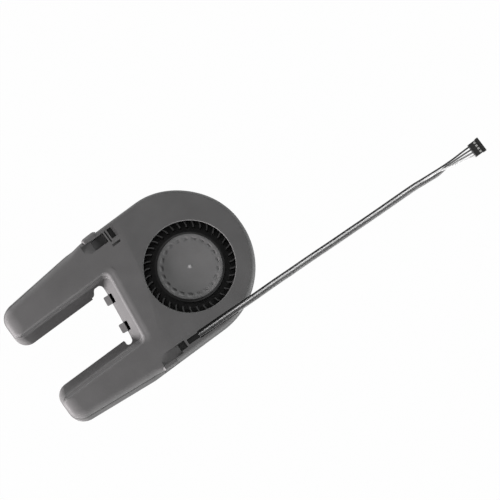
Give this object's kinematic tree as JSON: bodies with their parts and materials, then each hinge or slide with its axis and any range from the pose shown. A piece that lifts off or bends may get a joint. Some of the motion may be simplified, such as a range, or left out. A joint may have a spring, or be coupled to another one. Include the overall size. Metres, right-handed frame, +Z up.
{
  "type": "cooling fan",
  "caption": "Flat centrifugal cooling fan with a scroll housing, top inlet, two tapered duct legs round a gap, and a wire lead with a small connector.",
  "frame": {"origin": "on the impeller axis at the underside of the base", "axes": "+X towards the round end and along the lead, +Y to the side away from the lead, +Z up out of the inlet along the impeller axis"},
  "size_m": [0.29, 0.0989, 0.02],
  "materials": {
    "tray_plastic": "fine moulded satin",
    "cover_plastic": "fine moulded texture",
    "hub_plastic": "satin",
    "impeller_plastic": "satin",
    "brass": "turned",
    "bronze": "oil filled sintered",
    "white_nylon": "smooth",
    "black_nylon": "smooth",
    "steel": "ground",
    "zinc_steel": "plated",
    "magnet": "bonded ferrite",
    "copper": "enamelled wire",
    "board": "solder resist",
    "chip": "moulded",
    "ceramic": "fired",
    "wire_black": "PVC insulation",
    "wire_white": "PVC insulation",
    "wire_dark_grey": "PVC insulation",
    "wire_grey": "PVC insulation",
    "connector": "moulded nylon",
    "tin": "tinned"
  },
  "bodies": {
    "housing": {"base_tray": "tray_plastic", "upper_cover": "cover_plastic", "bearing_tube": "brass", "sleeve_bearing": "bronze", "thrust_pad": "white_nylon", "oil_seal": "black_nylon", "stator_insulator_lower": "white_nylon", "stator_core": "steel", "stator_insulator_upper": "white_nylon", "coil_windings": "copper", "circuit_board": "board", "driver_chip": "chip", "hall_sensor": "chip", "board_passives": "ceramic", "inner_lead": "wire_dark_grey", "exit_sleeve": "black_nylon", "wire_black": "wire_black", "wire_white": "wire_white", "wire_dark_grey": "wire_dark_grey", "wire_grey": "wire_grey", "connector_housing": "connector", "crimp_terminals": "tin"},
    "rotor": {"shaft": "steel", "retaining_ring": "white_nylon", "shaft_bush": "brass", "rotor_yoke": "zinc_steel", "magnet_ring": "magnet", "hub_cap": "hub_plastic", "impeller": "impeller_plastic"}
  },
  "joints": [
    {"name": "impeller_spin", "type": "hinge", "parent": "housing", "child": "rotor", "pos_m": [0, 0, 0.0085], "axis": [0, 0, 1], "continuous": true}
  ]
}
